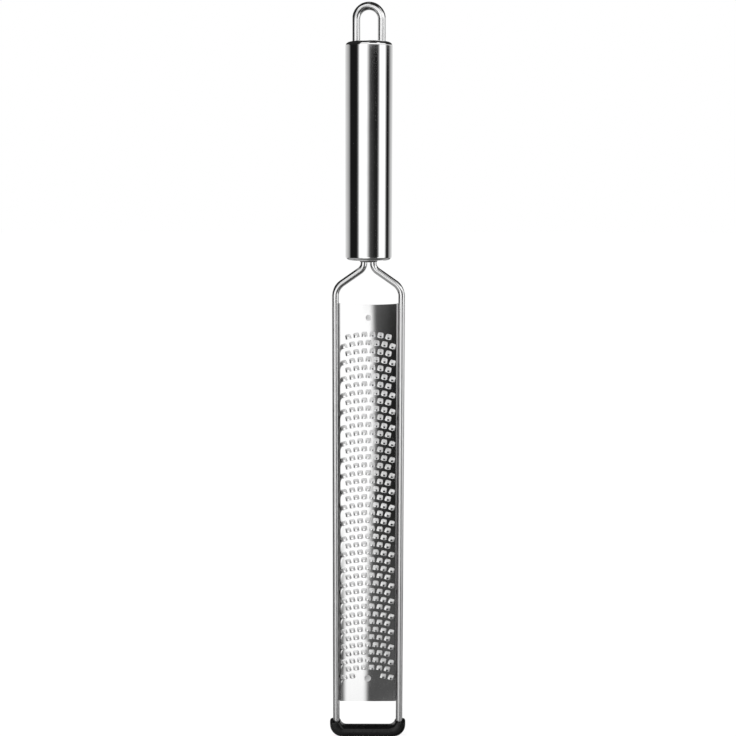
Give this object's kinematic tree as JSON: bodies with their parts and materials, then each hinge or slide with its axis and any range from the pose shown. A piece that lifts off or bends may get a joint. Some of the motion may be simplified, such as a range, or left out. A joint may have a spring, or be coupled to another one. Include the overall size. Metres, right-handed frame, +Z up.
{
  "type": "rasp zester",
  "caption": "Hand rasp with a round polished steel handle, hanging loop, bent wire frame, narrow arched toothed blade and rubber foot.",
  "frame": {"origin": "middle of the foot's flat underside", "axes": "+Z up along the handle towards the hanging loop, -Y out of the rasping face, +X to the right when the rasping face is seen"},
  "size_m": [0.038, 0.022, 0.3583],
  "materials": {
    "polished_steel": "polished stainless steel with a faint lengthwise grain",
    "wire_steel": "bright drawn stainless steel",
    "blade_steel": "bright rolled stainless sheet",
    "weld_metal": "dull weld bead",
    "black_rubber": "satin moulded rubber"
  },
  "bodies": {
    "root": {"handle_tube": "polished_steel", "handle_top_cap": "polished_steel", "handle_bottom_cap": "polished_steel", "hanging_loop": "wire_steel", "frame_wire": "wire_steel", "blade": "blade_steel", "foot": "black_rubber", "neck_weld": "weld_metal", "loop_welds": "weld_metal", "blade_welds": "weld_metal"}
  },
  "joints": []
}
